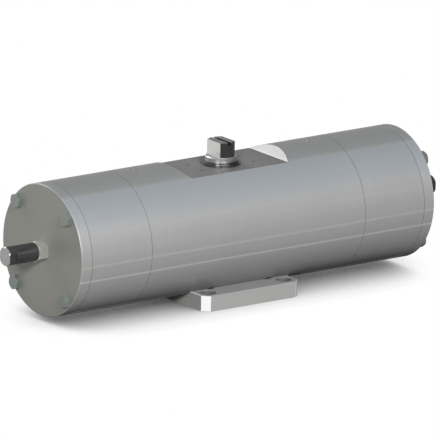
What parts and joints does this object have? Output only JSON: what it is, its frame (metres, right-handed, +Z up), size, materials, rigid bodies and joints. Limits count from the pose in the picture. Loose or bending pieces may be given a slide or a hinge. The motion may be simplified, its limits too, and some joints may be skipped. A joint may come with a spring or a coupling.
{
  "type": "pneumatic valve actuator",
  "caption": "Double-piston, spring-return quarter-turn pneumatic actuator: long steel cylinder on a square drilled plate, slotted drive shaft on top, capped ends",
  "frame": {"origin": "centre of the mounting plate's underside, on the shaft's axis", "axes": "+Z up the shaft, +X along the cylinder, +Y to the rear, where the valve pad is"},
  "size_m": [0.66, 0.168, 0.1951],
  "materials": {
    "machined_steel": "machined stainless steel, fine turning marks",
    "cap_steel": "machined stainless steel, faced flat",
    "fastener_steel": "stainless fasteners, greenish grey",
    "nut_steel": "bright stainless steel",
    "cover_steel": "polished dark stainless steel",
    "shaft_steel": "ground stainless steel",
    "ring_steel": "glossy dark spring steel",
    "piston_alloy": "bare cast aluminium",
    "spring_steel": "coated spring steel",
    "acetal": "natural acetal",
    "rubber": "nitrile rubber",
    "bronze": "sintered bronze"
  },
  "bodies": {
    "housing": {"main_body": "machined_steel", "valve_block": "machined_steel", "gallery_plug": "fastener_steel", "spring_housing_right": "machined_steel", "housing_seal_right": "rubber", "end_cap_right": "cap_steel", "cap_seal_right": "rubber", "cap_bolts_right": "fastener_steel", "stop_screw_right": "fastener_steel", "lock_nut_right": "nut_steel", "stop_cover_right": "cover_steel", "spring_right": "spring_steel", "spring_housing_left": "machined_steel", "housing_seal_left": "rubber", "end_cap_left": "cap_steel", "cap_seal_left": "rubber", "cap_bolts_left": "fastener_steel", "stop_screw_left": "fastener_steel", "lock_nut_left": "nut_steel", "stop_cover_left": "cover_steel", "spring_left": "spring_steel", "bottom_bush": "bronze", "top_bush": "bronze", "thrust_ring": "acetal", "thrust_washer": "ring_steel"},
    "shaft": {"pinion_shaft": "shaft_steel", "bottom_seal": "rubber", "top_seal": "rubber", "retaining_ring": "ring_steel"},
    "piston_right": {"piston_right": "piston_alloy", "rack_pad_right": "acetal", "piston_seal_right": "rubber", "piston_band_right": "acetal"},
    "piston_left": {"piston_left": "piston_alloy", "rack_pad_left": "acetal", "piston_seal_left": "rubber", "piston_band_left": "acetal"}
  },
  "joints": [
    {"name": "shaft_turn", "type": "hinge", "parent": "housing", "child": "shaft", "pos_m": [0, 0, 0.0915], "axis": [0, 0, 1], "range_deg": [0, 90], "stiffness_Nm_per_rad": 9.2, "springref_deg": -71.62},
    {"name": "piston_slide_right", "type": "slide", "parent": "housing", "child": "piston_right", "axis": [1, 0, 0], "range_m": [0, 0.0377], "deforming": ["spring_right"]},
    {"name": "piston_slide_left", "type": "slide", "parent": "housing", "child": "piston_left", "axis": [-1, 0, 0], "range_m": [0, 0.0377], "deforming": ["spring_left"]}
  ],
  "couplings": [
    {"joint": "piston_slide_right", "follows": "shaft_turn", "m_per_rad": 0.024},
    {"joint": "piston_slide_left", "follows": "shaft_turn", "m_per_rad": 0.024}
  ]
}
